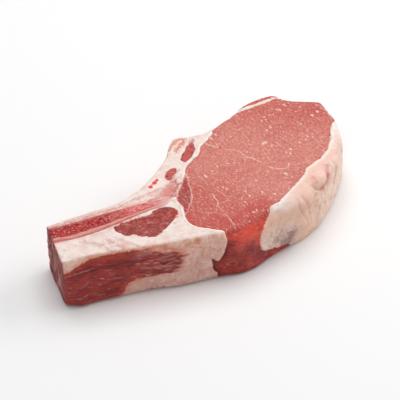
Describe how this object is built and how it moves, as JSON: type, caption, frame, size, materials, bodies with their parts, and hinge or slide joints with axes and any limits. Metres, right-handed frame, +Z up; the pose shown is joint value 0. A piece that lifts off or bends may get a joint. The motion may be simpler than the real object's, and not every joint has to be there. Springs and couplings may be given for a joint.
{
  "type": "raw lamb chop",
  "caption": "Thick raw bone-in rib chop lying on a cut face, with a pale loin eye, a fat cap, fat round the sawn rib and darker lean beside it.",
  "frame": {"origin": "under the middle of the chop's box, on the flat cut face that it lies on", "axes": "+X along the chop from the sawn rib end to the loin eye's far end, +Y towards the chine side, +Z up through the thickness"},
  "size_m": [0.1558, 0.0685, 0.0277],
  "materials": {
    "loin_lean": "moist pale red meat with fine pale fat flecks",
    "dark_lean": "moist dark red meat with fibres",
    "fat": "firm creamy fat, slightly moist, with pink stains",
    "rib_bone": "sawn spongy red bone with a pale rim",
    "chine_bone": "pale bone and cartilage with blood marks"
  },
  "bodies": {
    "root": {"loin_eye": "loin_lean", "inner_lean": "dark_lean", "edge_lean": "dark_lean", "edge_seam_fat": "fat", "fat_cap": "fat", "rib_fat": "fat", "rib_bone": "rib_bone", "chine_bone": "chine_bone", "rib_lean": "dark_lean", "chine_lean_upper": "dark_lean", "chine_lean_lower": "dark_lean", "flank_lean": "dark_lean"}
  },
  "joints": []
}
